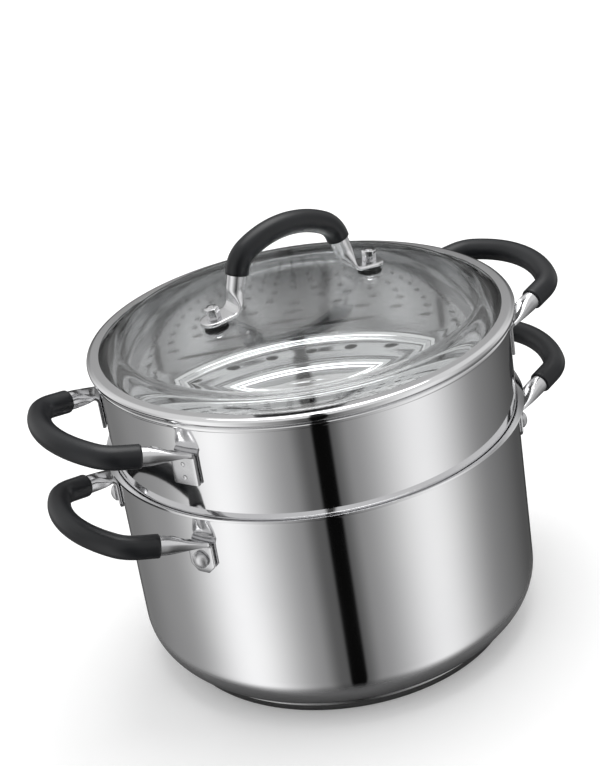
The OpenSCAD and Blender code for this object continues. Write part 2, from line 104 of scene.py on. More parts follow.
class Wire:  # an output socket, so that maths on it reads as maths
    def __init__(self, tree, socket=None):
        self.tree = tree
        self.socket = socket

    def node(self, kind, settings=None, values=None, output=0):
        made = self.tree.nodes.new(kind)
        for key, value in (settings or {}).items():
            setattr(made, key, value)
        for key, value in (values or {}).items():
            if isinstance(value, Wire):
                self.tree.links.new(value.socket, made.inputs[key])
            else:
                made.inputs[key].default_value = value
        return Wire(self.tree, made.outputs[output] if made.outputs else None)

    def maths(self, operation, *terms):
        return self.node("ShaderNodeMath", {"operation": operation}, dict(enumerate(terms)))

    __add__, __radd__ = wireOperator("ADD"), wireOperator("ADD", swapped=True)
    __sub__, __rsub__ = wireOperator("SUBTRACT"), wireOperator("SUBTRACT", swapped=True)
    __mul__, __rmul__ = wireOperator("MULTIPLY"), wireOperator("MULTIPLY", swapped=True)
    __truediv__, __pow__ = wireOperator("DIVIDE"), wireOperator("POWER")

    def ramp(self, low, high, lowValue=0.0, highValue=1.0):  # smooth step from one value to another
        return self.node("ShaderNodeMapRange", {"interpolation_type": "SMOOTHSTEP"},
                         {0: self, 1: low, 2: high, 3: lowValue, 4: highValue})

    def split(self):  # a vector's x, y and z
        parts = self.node("ShaderNodeSeparateXYZ", None, {0: self})
        return [Wire(self.tree, socket) for socket in parts.socket.node.outputs]


def mixColour(factor, low, high):
    return factor.node("ShaderNodeMix", {"data_type": "RGBA"}, {0: factor, 6: low, 7: high}, output=2)


def newMaterial(name):
    material = bpy.data.materials.new(name)
    material.use_nodes = True
    material.node_tree.nodes.clear()
    return material, Wire(material.node_tree)


def finishMaterial(material, start, values):
    shader = start.node("ShaderNodeBsdfPrincipled", None, values)
    start.node("ShaderNodeOutputMaterial", None, {"Surface": shader})
    return material


def objectPlace(start):
    return start.node("ShaderNodeTexCoord", output=3)


def aboutAxis(start):  # radius, angle and height about the pot's axis
    x, y, z = objectPlace(start).split()
    return (x * x + y * y) ** 0.5, x.maths("ARCTAN2", y, x), z


def noiseAt(place, scale, detail, roughness):
    return place.node("ShaderNodeTexNoise", None,
                      {"Vector": place, "Scale": scale, "Detail": detail, "Roughness": roughness})


def turnedGrain(start, acrossScale, alongScale, detail):  # fine lines that run round the axis
    radius, angle, height = aboutAxis(start)
    place = radius.node("ShaderNodeCombineXYZ", None,
                        {0: radius * acrossScale, 1: angle * alongScale, 2: height * acrossScale})
    return noiseAt(place, 1.0, detail, 0.6)


def cloudy(start, scale, detail):
    return noiseAt(objectPlace(start), scale, detail, 0.55)


def bumpOf(height, distance, strength):
    return height.node("ShaderNodeBump", None, {"Height": height, "Distance": distance, "Strength": strength})


# Finishes

middleSpan = (0.3, 0.7)  # where most of a noise's values lie
finish = {
    # tone: the noise that colours and roughness follow from one end to the other, over a span of its values
    # fine: the noise of the relief, where it isn't the tone's; relief: height and strength
    # a cloudy noise has a scale and a detail, a turned grain has a scale across, a scale along and a detail
    "polished": {  # mirror polish, with the faintest haze
        "tone": (cloudy, 14.0, 3.0), "colours": ((0.775, 0.775, 0.785), (0.80, 0.80, 0.805)),
        "colourSpan": (0.35, 0.7), "roughness": (0.045, 0.085), "roughSpan": (0.3, 0.75),
        "fine": (turnedGrain, 900.0, 3.0, 4.0), "relief": (0.01 * mm, 0.05),
    },
    "inner": {  # polished less than the outside
        "tone": (turnedGrain, 1400.0, 4.0, 4.0), "colours": ((0.80, 0.80, 0.805), (0.85, 0.85, 0.855)),
        "roughness": (0.06, 0.09), "relief": (0.01 * mm, 0.08),
    },
    "satin": {  # fine lines from the lathe, under a haze that has a noise of its own
        "tone": (turnedGrain, 1600.0, 5.0, 6.0), "colours": ((0.62, 0.62, 0.62), (0.70, 0.70, 0.70)),
        "haze": (cloudy, 22.0, 3.0), "roughness": (0.24, 0.30), "lineRoughness": 0.12,
        "relief": (0.03 * mm, 0.25),
    },
    "base": {  # the band at the foot, its colours darker than the shell's as painted shade for the shadowed floor that it reflects
        "tone": (turnedGrain, 1600.0, 5.0, 6.0), "colours": ((0.40, 0.40, 0.40), (0.50, 0.50, 0.50)),
        "roughness": (0.16, 0.24), "relief": (0.02 * mm, 0.15),
    },
    "tube": {  # polished after bending, softer than the shell
        "tone": (cloudy, 60.0, 3.0), "colours": ((0.68, 0.68, 0.69), (0.74, 0.74, 0.75)),
        "roughness": (0.19, 0.26), "roughSpan": (0.3, 0.75),
        "fine": (cloudy, 900.0, 2.0), "relief": (0.02 * mm, 0.08),
    },
    "rivet": {  # tumbled, not polished
        "tone": (cloudy, 300.0, 3.0), "colours": ((0.70, 0.70, 0.71), (0.78, 0.78, 0.79)),
        "roughness": (0.34, 0.42), "relief": (0.03 * mm, 0.1),
    },
    "fastener": {
        "tone": (cloudy, 240.0, 3.0), "colours": ((0.72, 0.72, 0.73), (0.82, 0.82, 0.83)),
        "roughness": (0.13, 0.20), "relief": (0.03 * mm, 0.1),
    },
    "grip": {  # matte, with a very fine moulded skin
        "tone": (cloudy, 45.0, 3.0), "colours": ((0.0020, 0.0027, 0.0043), (0.0042, 0.0052, 0.0074)),
        "colourSpan": (0.35, 0.7), "roughness": (0.34, 0.42), "roughSpan": (0.3, 0.75),
        "fine": (cloudy, 2600.0, 2.0), "relief": (0.04 * mm, 0.22), "specular": 0.45,
    },
    "gasket": {
        "tone": (cloudy, 1500.0, 2.0), "colours": ((0.020, 0.020, 0.021), (0.032, 0.032, 0.034)),
        "roughness": (0.5, 0.62), "relief": (0.04 * mm, 0.2),
    },
    "glass": {
        "tone": (cloudy, 9.0, 3.0), "colours": ((0.955, 0.970, 0.968), (0.965, 0.978, 0.977)),
        "roughness": (0.0, 0.015), "roughSpan": (0.45, 0.8), "refraction": 1.5,
    },
    "print": {
        "tone": (cloudy, 3000.0, 2.0), "colours": ((0.035, 0.035, 0.037), (0.06, 0.06, 0.062)),
        "colourSpan": (0.35, 0.75), "roughness": (0.4, 0.5),
    },
}


def noiseOf(start, recipe):
    makeNoise, *numbers = recipe
    return makeNoise(start, *numbers)


def colourOf(noise, look):
    low, high = look["colours"]
    return mixColour(noise.ramp(*look.get("colourSpan", middleSpan)), (*low, 1), (*high, 1))


def surface(name, look, settings=None):
    material, start = newMaterial(name)
    tone = noiseOf(start, look["tone"])
    values = {
        "Base Color": colourOf(tone, look),
        "Roughness": tone.ramp(*look.get("roughSpan", middleSpan), *look["roughness"]),
    }
    if "relief" in look:
        fine = noiseOf(start, look["fine"]) if "fine" in look else tone
        values["Normal"] = bumpOf(fine, *look["relief"])
    return finishMaterial(material, start, {**values, **(settings or {})})


def steel(name, look):
    return surface(name, look, {"Metallic": 1.0})


def satinSteel():
    look = finish["satin"]
    material, start = newMaterial("satin_steel")
    lines, haze = noiseOf(start, look["tone"]), noiseOf(start, look["haze"])
    return finishMaterial(material, start, {
        "Base Color": colourOf(lines, look),
        "Metallic": 1.0,
        "Roughness": lines * look["lineRoughness"] + haze.ramp(*middleSpan, *look["roughness"]),
        "Normal": bumpOf(lines, *look["relief"]),
    })


def clearGlass():
    look = finish["glass"]
    return surface("clear_glass", look, {"IOR": look["refraction"], "Transmission Weight": 1.0})


mirrorFinish = steel("polished_steel", finish["polished"])
innerFinish = steel("inner_steel", finish["inner"])
satinFinish = satinSteel()
baseShadeFinish = steel("base_steel", finish["base"])
tubeFinish = steel("tube_steel", finish["tube"])
rivetFinish = steel("rivet_steel", finish["rivet"])
fastenerFinish = steel("fastener_steel", finish["fastener"])
gripFinish = surface("grip_silicone", finish["grip"], {"Specular IOR Level": finish["grip"]["specular"]})
gasketFinish = surface("gasket_rubber", finish["gasket"])
glassFinish = clearGlass()
printFinish = surface("dark_print", finish["print"])
print("finishes made")

# Mesh helpers

weldDistance = 0.002 * mm
mirrorWeld = 0.01 * mm
sharpDegrees = 32  # edges that turn more than this stay crisp


def arcPoints(centre, radius, fromAngle, toAngle, steps):
    angles = [math.radians(fromAngle + (toAngle - fromAngle) * i / steps) for i in range(steps + 1)]
    return [Vector((centre[0] + radius * math.cos(a), centre[1] + radius * math.sin(a))) for a in angles]


def leftOf(vector):
    return Vector((-vector.y, vector.x))


def besideLine(line, distance):  # the line moved sideways, with mitred corners
    moved = []
    for i, point in enumerate(line):
        before = line[max(i, 1)] - line[max(i, 1) - 1]
        last = min(i, len(line) - 2)
        after = line[last + 1] - line[last]
        beforeSide, afterSide = leftOf(before.normalized()), leftOf(after.normalized())
        middle = (beforeSide + afterSide).normalized()
        moved.append(point + middle * distance / middle.dot(afterSide))
    return moved


def supported(line, inset):  # a point close to each end of a long straight keeps reflections straight there
    made = [line[0]]
    for a, b in zip(line, line[1:]):
        step = b - a
        if step.length > 4 * inset:
            made.append(a + step.normalized() * inset)
            made.append(b - step.normalized() * inset)
        made.append(b)
    return made


def sheetOutline(line, thick):  # both sides of a sheet, from the inner end out and back
    return besideLine(line, -thick / 2) + besideLine(line, thick / 2)[::-1]


def newPiece(name, bm, finishes, node, sharpAngle=sharpDegrees):
    bmesh.ops.remove_doubles(bm, verts=bm.verts, dist=weldDistance)
    bmesh.ops.recalc_face_normals(bm, faces=bm.faces)
    for face in bm.faces:
        face.smooth = True
    mesh = bpy.data.meshes.new(name)
    bm.to_mesh(mesh)
    bm.free()
    for material in finishes:
        mesh.materials.append(material)
    mesh.set_sharp_from_angle(angle=math.radians(sharpAngle))
    piece = addObject(name, mesh)
    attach(piece, "root")
    if node:
        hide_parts(node)
    return piece


def spinOutline(outline, steps, closed, matrix=Matrix.Identity(4)):  # turns radius and height about the axis
    bm = bmesh.new()
    verts = [bm.verts.new((point.x, 0, point.y)) for point in outline]
    pairs = list(zip(verts, verts[1:]))
    if closed:
        pairs.append((verts[-1], verts[0]))
    edges = [bm.edges.new(pair) for pair in pairs]
    bmesh.ops.spin(bm, geom=verts + edges, cent=(0, 0, 0), axis=(0, 0, 1), angle=math.tau, steps=steps,
                   use_merge=True, use_normal_flip=False, use_duplicate=False)
    bmesh.ops.remove_doubles(bm, verts=bm.verts, dist=weldDistance)
    bm.transform(matrix)
    return bm


def joinInto(bm, other):  # adds another mesh to this one
    mesh = bpy.data.meshes.new("joined")
    other.to_mesh(mesh)
    other.free()
    bm.from_mesh(mesh)
    bpy.data.meshes.remove(mesh)


def addRod(bm, radius, depth, segments, matrix):
    bmesh.ops.create_cone(bm, cap_ends=True, segments=segments, radius1=radius, radius2=radius, depth=depth,
                          matrix=matrix)


def cutWith(piece, cutter):  # takes the cutter's shape out of the piece
    mesh = bpy.data.meshes.new("cutter")
    bmesh.ops.recalc_face_normals(cutter, faces=cutter.faces)
    cutter.to_mesh(mesh)
    cutter.free()
    tool = addObject("cutter", mesh)
    modifier = piece.modifiers.new("cut", "BOOLEAN")
    modifier.operation = "DIFFERENCE"
    modifier.solver = "EXACT"
    modifier.object = tool
    bpy.context.view_layer.update()
    evaluated = piece.evaluated_get(bpy.context.evaluated_depsgraph_get())
    cut = bpy.data.meshes.new_from_object(evaluated)
    piece.modifiers.clear()
    piece.data = cut
    cut.set_sharp_from_angle(angle=math.radians(sharpDegrees))
    bpy.data.objects.remove(tool)


def paintInside(piece, isInside, index):
    for polygon in piece.data.polygons:
        if isInside(polygon.center, polygon.normal):
            polygon.material_index = index


# Pot

pot = {
    "bore": 240 * mm,
    "height": 140 * mm,
    "sheet": 1 * mm,
    "corner": 26 * mm,
    "lipBend": 3 * mm,
    "lipLength": 3 * mm,
    "lipRise": 20,  # degrees over level
    "baseThick": 5 * mm,
    "baseInset": 17 * mm,  # from the outside of the wall
    "baseRound": 1.6 * mm,
    "facesRound": 192,
}
pot["mid"] = pot["bore"] / 2 + pot["sheet"] / 2
pot["out"] = pot["bore"] / 2 + pot["sheet"]
pot["lipEnd"] = 90 + pot["lipRise"]
lipSine, lipCosine = math.sin(math.radians(pot["lipRise"])), math.cos(math.radians(pot["lipRise"]))
lipUp = pot["lipBend"] * lipCosine + pot["lipLength"] * lipSine  # from where the lip starts to bend
pot["lipZ"] = pot["height"] - lipUp - pot["sheet"] / 2 * lipCosine
pot["lipCentre"] = pot["mid"] + pot["lipBend"]
pot["lipOut"] = pot["lipCentre"] - pot["lipBend"] * lipSine + pot["lipLength"] * lipCosine


def makePot():
    floorZ = pot["baseThick"] + pot["sheet"] / 2
    corner, lipBend = pot["corner"], pot["lipBend"]
    line = [Vector((0, floorZ))]
    line += arcPoints((pot["mid"] - corner, floorZ + corner), corner, -90, 0, steps=20)
    line += arcPoints((pot["lipCentre"], pot["lipZ"]), lipBend, 180, pot["lipEnd"], steps=10)
    line.append(Vector((pot["lipOut"], pot["lipZ"] + lipUp)))
    outline = sheetOutline(supported(line, inset=1.2 * mm), pot["sheet"])
    bm = spinOutline(outline, pot["facesRound"], closed=False)
    piece = newPiece("pot_shell", bm, [mirrorFinish, satinFinish], "pot_body")

    def isInside(centre, normal):
        overFloor = centre.z > floorZ and (normal.z > 0 or centre.z > floorZ + 2 * pot["sheet"])
        return overFloor and centre.z < pot["lipZ"] and normal.x * centre.x + normal.y * centre.y <= 0

    paintInside(piece, isInside, 1)


def makeBase():
    radius = pot["out"] - pot["baseInset"]
    line = [Vector((0, 0))]
    line += arcPoints((radius - pot["baseRound"], pot["baseRound"]), pot["baseRound"], -90, 0, steps=8)
    soft = pot["baseRound"] / 2
    line += [Vector((radius, pot["baseThick"] - soft)), Vector((radius - soft, pot["baseThick"])),
             Vector((0, pot["baseThick"]))]
    bm = spinOutline(supported(line, inset=0.6 * mm), pot["facesRound"], closed=False)
    # the base plate's finish carries painted shade in its darker colours
    newPiece("base_plate", bm, [baseShadeFinish], "base_disc")


scale = {
    "turn": 72,  # where it stands on the wall, from +X
    "line": 0.8 * mm,
    "tick": 6 * mm,
    "litre": 0.001,  # in cubic metres
    "ends": (1.2, 4.4),  # of the upright, in litres
    "marks": (2, 3, 4),
    "units": ((1, 1.0, "{}.0L", "LEFT"), (-1, 0.9464, "{}QT", "RIGHT")),  # side, litres, words and alignment
    "letters": 6.4 * mm,
    "lettersGap": 1.4 * mm,
    "depth": 0.04 * mm,
    "stepAcross": 1.5 * mm,
}


def fillHeight(litres):  # of the water in the pot, whose rounded corner holds a little less
    radius, corner = pot["bore"] / 2, pot["corner"] - pot["sheet"] / 2
    cornerMiddle = (10 - 3 * math.pi) / (12 - 3 * math.pi)  # of the lost corner, as a share of its radius
    lost = (1 - math.pi / 4) * corner ** 2 * math.tau * (radius - corner * cornerMiddle)
    return pot["baseThick"] + pot["sheet"] + (litres * scale["litre"] + lost) / (math.pi * radius ** 2)


def addStroke(bm, left, right, low, high):  # a flat bar, cut across so that it can follow the wall
    stroke = bmesh.new()
    place = Matrix.Translation(((left + right) / 2, (low + high) / 2, 0))
    shape = Matrix.Diagonal((right - left, high - low, 2 * scale["depth"], 1))
    bmesh.ops.create_cube(stroke, size=1, matrix=place @ shape)
    cuts = int((right - left) / scale["stepAcross"])
    if cuts:
        across = [e for e in stroke.edges if abs(e.verts[0].co.x - e.verts[1].co.x) > scale["line"]]
        bmesh.ops.subdivide_edges(stroke, edges=across, cuts=cuts, use_grid_fill=True)
    joinInto(bm, stroke)


def addLetters(bm, words, edge, middle, align):
    data = bpy.data.curves.new("letters", "FONT")
    data.body = words
    data.size = scale["letters"]
    data.extrude = scale["depth"]
    data.align_x = align
    data.align_y = "CENTER"
    data.resolution_u = 3
    letters = addObject("letters", data)
    bpy.context.view_layer.update()
    mesh = bpy.data.meshes.new_from_object(letters.evaluated_get(bpy.context.evaluated_depsgraph_get()))
    flat = bmesh.new()
    flat.from_mesh(mesh)
    bmesh.ops.translate(flat, verts=flat.verts, vec=(edge, middle, 0))
    joinInto(bm, flat)
    bpy.data.objects.remove(letters)
    bpy.data.meshes.remove(mesh)


def makeScale():  # drawn flat, then laid on the wall
    bm = bmesh.new()
    half, reach = scale["line"] / 2, scale["tick"] + scale["lettersGap"]
    addStroke(bm, -half, half, *(fillHeight(litres) for litres in scale["ends"]))
    for count in scale["marks"]:
        for side, unit, words, align in scale["units"]:
            level = fillHeight(count * unit)
            left, right = sorted((0, side * scale["tick"]))
            addStroke(bm, left, right, level - half, level + half)
            addLetters(bm, words.format(count), side * reach, level, align)
    for vert in bm.verts:
        angle = math.radians(scale["turn"]) - vert.co.x / (pot["bore"] / 2)
        radius = pot["bore"] / 2 - vert.co.z
        vert.co = (radius * math.cos(angle), radius * math.sin(angle), vert.co.y)
    newPiece("scale_lines", bm, [printFinish], None)


makePot()
makeBase()
makeScale()
print("pot made")

# Steamer insert

steamer = {
    "depth": 60 * mm,
    "collarDepth": 17 * mm,
    "collarInset": 6 * mm,
    "sheet": 0.8 * mm,
    "ledgeBend": 4 * mm,
    "collarBend": 1.6 * mm,
    "floorBend": 5 * mm,
    "rimCurl": 1.4 * mm,
    "curlDown": 30,  # degrees past level, outside the rim
    "holeSize": 5 * mm,
    "ringPitch": 15 * mm,
    "rings": 6,
    "holesStep": 6,  # holes that a ring has more than the ring inside it
    "floorLift": 1.5 * mm,
    "liftSlope": 6 * mm,
    "seatGap": 0.2 * mm,
    "facesRound": 192,
}
steamer["mid"] = pot["bore"] / 2 + steamer["sheet"] / 2
steamer["out"] = pot["bore"] / 2 + steamer["sheet"]
steamer["collar"] = steamer["mid"] - steamer["collarInset"]
seatReach = (steamer["ledgeBend"] + steamer["sheet"] / 2 + pot["lipBend"] + pot["sheet"] / 2
             + steamer["seatGap"])  # between the middles of the two bends that meet
seatAcross = pot["lipCentre"] - (steamer["mid"] - steamer["ledgeBend"])
steamer["ledgeCentreZ"] = pot["lipZ"] + math.sqrt(seatReach ** 2 - seatAcross ** 2)
steamer["ledgeZ"] = steamer["ledgeCentreZ"] - steamer["ledgeBend"]
steamer["floorZ"] = steamer["ledgeZ"] - steamer["collarDepth"]
steamer["top"] = steamer["ledgeZ"] + steamer["depth"]
steamer["curlZ"] = steamer["top"] - steamer["rimCurl"] - steamer["sheet"] / 2


def steamerLine():  # middle of the sheet, from the axis out and up
    inner = steamer["ringPitch"] * steamer["rings"] - steamer["liftSlope"] / 2
    floorZ, ledgeZ, mid, collar = (steamer[key] for key in ("floorZ", "ledgeZ", "mid", "collar"))
    floorBend, collarBend = steamer["floorBend"], steamer["collarBend"]
    ledgeBend, rimCurl = steamer["ledgeBend"], steamer["rimCurl"]
    line = [Vector((0, floorZ + steamer["floorLift"])), Vector((inner, floorZ + steamer["floorLift"])),
            Vector((inner + steamer["liftSlope"], floorZ))]
    line += arcPoints((collar - floorBend, floorZ + floorBend), floorBend, -90, 0, steps=10)
    line += arcPoints((collar + collarBend, ledgeZ - collarBend), collarBend, 180, 90, steps=8)
    line += arcPoints((mid - ledgeBend, steamer["ledgeCentreZ"]), ledgeBend, -90, 0, steps=10)
    line += arcPoints((mid + rimCurl, steamer["curlZ"]), rimCurl, 180, -steamer["curlDown"], steps=14)
    return line


def steamHoles():
    cutter = bmesh.new()
    middle, through = steamer["floorZ"] + steamer["floorLift"] / 2, 8 * mm
    for ring in range(1, steamer["rings"] + 1):
        radius, count = ring * steamer["ringPitch"], ring * steamer["holesStep"]
        for i in range(count):
            turn = math.tau * i / count
            place = Matrix.Translation((radius * math.cos(turn), radius * math.sin(turn), middle))
            addRod(cutter, steamer["holeSize"] / 2, through, 20, place)
    return cutter


def makeSteamer():
    outline = sheetOutline(supported(steamerLine(), inset=0.9 * mm), steamer["sheet"])
    bm = spinOutline(outline, steamer["facesRound"], closed=False)
    piece = newPiece("steamer_shell", bm, [mirrorFinish, innerFinish], "steamer_body")
    cutWith(piece, steamHoles())
    floorTop = steamer["floorZ"] + steamer["floorLift"] + steamer["sheet"]
    paintInside(piece, lambda c, n: n.x * c.x + n.y * c.y < 0 and c.z < steamer["curlZ"], 1)
    paintInside(piece, lambda c, n: c.z < floorTop, 1)


makeSteamer()
print("steamer insert made")

# Bent tubes with pressed ends

tube = {
    "size": 11 * mm,
    "flatWidth": 16.5 * mm,
    "flatThick": 2.4 * mm,
    "tail": 8.5 * mm,  # from the rivet, weld or bolt to the end of the tab
    "cut": 4.5 * mm,  # off each corner of a riveted tab
    "crease": 1.8 * mm,  # depth of the dent that the press leaves
    "bare": 3 * mm,  # round tube that shows beside the grip
    "sides": 32,
    "flatPower": 0.3,  # squares the section of a pressed end, where 1 is round
    "edge": 0.3 * mm,
    "edgeThin": 0.8,  # share of the thickness at the very end
    "squareCut": 0.4 * mm,
    "support": 0.5 * mm,  # to a section that keeps a corner's shading close to it
}
tube["radius"] = tube["size"] / 2
grip = {"radius": 6.75 * mm, "rounding": 1.2 * mm, "gap": 0.1 * mm}


def section(origin, across, up, halfWidth, halfThick, power=1.0, dent=0.0):  # dented along its underside
    ring = []
    for i in range(tube["sides"]):
        angle = math.tau * i / tube["sides"]
        cosine, sine = math.cos(angle), math.sin(angle)
        x = halfWidth * math.copysign(abs(cosine) ** power, cosine)
        z = halfThick * math.copysign(abs(sine) ** power, sine)
        if z < 0:
            z += dent * max(0, 1 - (2 * x / halfWidth) ** 2) ** 2
        ring.append(origin + across * x + up * z)
    return ring


def loft(rings, capFirst):  # extrudes a ring along the rings that follow it
    bm = bmesh.new()
    verts = bmesh.ops.create_circle(bm, cap_ends=False, segments=len(rings[0]), radius=1)["verts"]
    for vert, place in zip(verts, rings[0]):
        vert.co = place
    if capFirst:
        bm.faces.new(verts)
    for ring in rings[1:]:
        edges = [bm.edges.get((verts[i - 1], verts[i])) for i in range(len(verts))]
        made = bmesh.ops.extrude_edge_only(bm, edges=edges)["geom"]
        fresh = {v for v in made if isinstance(v, bmesh.types.BMVert)}
        verts = [next(e.other_vert(v) for e in v.link_edges if e.other_vert(v) in fresh) for v in verts]
        for vert, place in zip(verts, ring):
            vert.co = place
    return bm


def footRings(axes, mid, heading, widths, lead, bendMid, pressLength, pressShare):
    # the tab's outline, the bend off its seat, and the press that grows back into the round tube
    origin, xAxis, yAxis, zAxis = axes
    turn = math.atan2(heading.z, heading.x)
    halfThick = tube["flatThick"] / 2

    def world(x, y, z):
        return origin + xAxis * x + yAxis * y + zAxis * z

    def direction(v):
        return xAxis * v.x + yAxis * v.y + zAxis * v.z

    rings = [section(world(x, 0, mid), yAxis, zAxis, half, halfThick * thick, tube["flatPower"])
             for x, half, thick in widths]
    steps = 8
    for i in range(steps + 1):
        angle = turn * i / steps
        x = lead + bendMid * math.sin(angle)
        z = mid + bendMid * (1 - math.cos(angle))
        up = direction(Vector((-math.sin(angle), 0, math.cos(angle))))
        rings.append(section(world(x, 0, z), yAxis, up, tube["flatWidth"] / 2, halfThick, tube["flatPower"]))
    start = Vector((x, 0, z))
    flatUp = Vector((-math.sin(turn), 0, math.cos(turn)))
    side = (Vector((0, 1, 0)) - heading * heading.y).normalized()
    roundUp = heading.cross(side)
    pressSteps = 24
    for i in range(1, pressSteps + 1):
        place = start + heading * pressLength * i / pressSteps
        share = min(1, i / pressSteps / pressShare)
        across = (Vector((0, 1, 0)) * (1 - share) + side * share).normalized()
        up = (flatUp * (1 - share) + roundUp * share).normalized()
        ease = share * share * (3 - 2 * share)
        rings.append(section(world(*place), direction(across), direction(up),
                             tube["flatWidth"] / 2 * (1 - ease) + tube["radius"] * ease,
                             halfThick * (1 - ease) + tube["radius"] * ease,
                             tube["flatPower"] * (1 - ease) + ease,
                             tube["crease"] * math.sin(math.pi * share)))
    return rings, world(*start), (direction(heading), direction(side), direction(roundUp))


def footEnd(mid, heading, lead, bendMid):  # where the bend at a foot leaves off, along the flat and off it
    turn = math.atan2(heading.z, heading.x)
    return lead + bendMid * math.sin(turn), mid + bendMid * (1 - math.cos(turn))


def bowShape(half, reach, toe, crown, bend):
    # sizes the straight leg and the crowned middle to meet half and reach
    bendOut = bend * (math.cos(crown) - math.sin(toe))
    bendIn = bend * (math.cos(toe) - math.sin(crown))
    lean = math.tan(toe)
    left = half - bendIn - lean * (reach - bendOut)
    crownRadius = left / (math.sin(crown) - lean * (1 - math.cos(crown)))
    leg = (reach - bendOut - crownRadius * (1 - math.cos(crown))) / math.cos(toe)
    bendSteps, crownSteps = 14, 12
    arcs = ((bend, math.pi / 2 - toe - crown, bendSteps), (crownRadius, crown, crownSteps))
    return {"leg": leg, "arcs": arcs}


def bowPath(start, axes, normal, shape, cover):
    # the stations from a cover before the bend to the middle of the crown, each with its axes
    heading, side, up = axes
    place = start + heading * shape["leg"]
    legSteps = 5
    stations = [(place - heading * cover * (1 - i / legSteps), side, up) for i in range(legSteps + 1)]
    for radius, angle, steps in shape["arcs"]:
        inward = heading.cross(normal).normalized()
        centre = place + inward * radius
        for i in range(1, steps + 1):
            turn = Quaternion(normal, -angle * i / steps)
            stations.append((centre + turn @ (-inward * radius), turn @ side, turn @ up))
        heading = turn @ heading
        place, side, up = stations[-1]
    return stations


def tubeRings(stations, radius):
    return [section(place, side, up, radius, radius) for place, side, up in stations]


def mirrored(bm, axis):
    geometry = bm.verts[:] + bm.edges[:] + bm.faces[:]
    bmesh.ops.mirror(bm, geom=geometry, matrix=Matrix.Identity(4), merge_dist=mirrorWeld, axis=axis)
    return bm


def sleeveRings(path):
    # from the middle along the inside to the end, round it, and back along the outside
    radius, rounding, inner = grip["radius"], grip["rounding"], tube["radius"] + grip["gap"]
    place, side, up = path[0]
    heading = (path[1][0] - place).normalized()
    rim = []
    rimSteps = 6
    for i in range(rimSteps + 1):
        angle = math.pi / 2 * i / rimSteps
        size = radius - rounding + rounding * math.sin(angle)
        shift = heading * rounding * (1 - math.cos(angle))
        rim.append(section(place + shift, side, up, size, size))
    return tubeRings(path, inner)[::-1] + rim + tubeRings(path[1:], radius)


def onSide(bm, leftSide):  # turns what was made for the right handle to the left one
    if leftSide:
        bm.transform(Matrix.Rotation(math.pi, 4, "Z"))
    return bm


def handlePair(names, nodes, bow, leftSide=False):
    roundPart = tubeRings(bow["path"](bow["cover"] + tube["bare"])[1:], tube["radius"])
    bm = onSide(mirrored(loft(bow["foot"] + roundPart, capFirst=True), bow["mirror"]), leftSide)
    sleeve = sleeveRings(bow["path"](bow["cover"]))
    sleeve = onSide(mirrored(loft(sleeve, capFirst=False), bow["mirror"]), leftSide)
    handle = newPiece(names[0], bm, [tubeFinish], nodes[0], sharpAngle=40)
    newPiece(names[1], sleeve, [gripFinish], nodes[1], sharpAngle=50)
    return handle


# Side handles

sideHandle = {
    "footAngle": 25.5,  # degrees round the wall from the middle of the handle
    "footDrop": 28.5 * mm,  # under the rim
    "footLead": 8 * mm,
    "footBend": 2 * mm,
    "reach": 48.5 * mm,
    "rise": 12,  # degrees that the bow climbs
    "toe": 16,  # degrees that each leg leans inwards
    "bend": 18 * mm,
    "crown": 30,  # degrees from the end of the bend to the middle
    "gripCover": 11.5 * mm,
    "pressShare": 1.0,  # how much of the bare leg is pressed
    "gap": 0.2 * mm,
}


def sideBow(wall, top, square):
    foot, crown = math.radians(sideHandle["footAngle"]), math.radians(sideHandle["crown"])
    rise, toe = math.radians(sideHandle["rise"]), math.radians(sideHandle["toe"])
    lead, bendMid = sideHandle["footLead"], sideHandle["footBend"] + tube["flatThick"] / 2
    flatMid = sideHandle["gap"] + tube["flatThick"] / 2
    out = Vector((math.cos(foot), math.sin(foot), 0))
    axes = (out * wall + Vector((0, 0, top - sideHandle["footDrop"])), Vector((0, 0, 1)),
            Vector((math.sin(foot), -math.cos(foot), 0)), out)
    worldHeading = Vector((math.cos(toe) * math.cos(rise), -math.sin(toe), math.cos(toe) * math.sin(rise)))
    heading = Vector([worldHeading.dot(axis) for axis in axes[1:]])
    half, tail, thin = tube["flatWidth"] / 2, -tube["tail"], tube["edgeThin"]
    edge, support, cut = tube["edge"], tube["support"], tube["squareCut"] if square else tube["cut"]
    # along the tab, its half width there, and the share of its thickness
    if square:
        widths = [(tail, half - cut, thin), (tail + edge, half, 1), (tail + 2 * support, half, 1),
                  (0, half, 1)]
    else:
        widths = [(tail, half - cut, thin), (tail + edge, half - cut + edge, 1), (tail + cut, half, 1),
                  (tail + cut + support, half, 1), (0, half, 1)]
    normal = Vector((-math.sin(rise), 0, math.cos(rise)))
    startRadius = wall + footEnd(flatMid, heading, lead, bendMid)[1]
    reach = (wall + sideHandle["reach"] - grip["radius"] - startRadius * math.cos(foot)) / math.cos(rise)
    shape = bowShape(startRadius * math.sin(foot), reach, toe, crown, sideHandle["bend"])
    pressLength = shape["leg"] - sideHandle["gripCover"] - tube["bare"]
    rings, start, startAxes = footRings(axes, flatMid, heading, widths, lead, bendMid, pressLength,
                                        sideHandle["pressShare"])
    return {
        "foot": rings,
        "path": lambda cover: bowPath(start, startAxes, normal, shape, cover),
        "mirror": "Y",
        "cover": sideHandle["gripCover"],
        "axes": axes,
        "flatTop": flatMid + tube["flatThick"] / 2,
    }


rivet = {
    "head": 10 * mm,
    "height": 4 * mm,
    "edge": 1.4 * mm,  # straight side of the head
    "soft": 0.35 * mm,
    "shank": 5 * mm,
    "gap": 0.1 * mm,
}
dimple = {"size": 3 * mm, "apart": 8 * mm, "depth": 0.5 * mm}


def axesMatrix(axes):
    origin, xAxis, yAxis, zAxis = axes
    matrix = Matrix((xAxis, yAxis, zAxis)).transposed().to_4x4()
    matrix.translation = origin
    return matrix


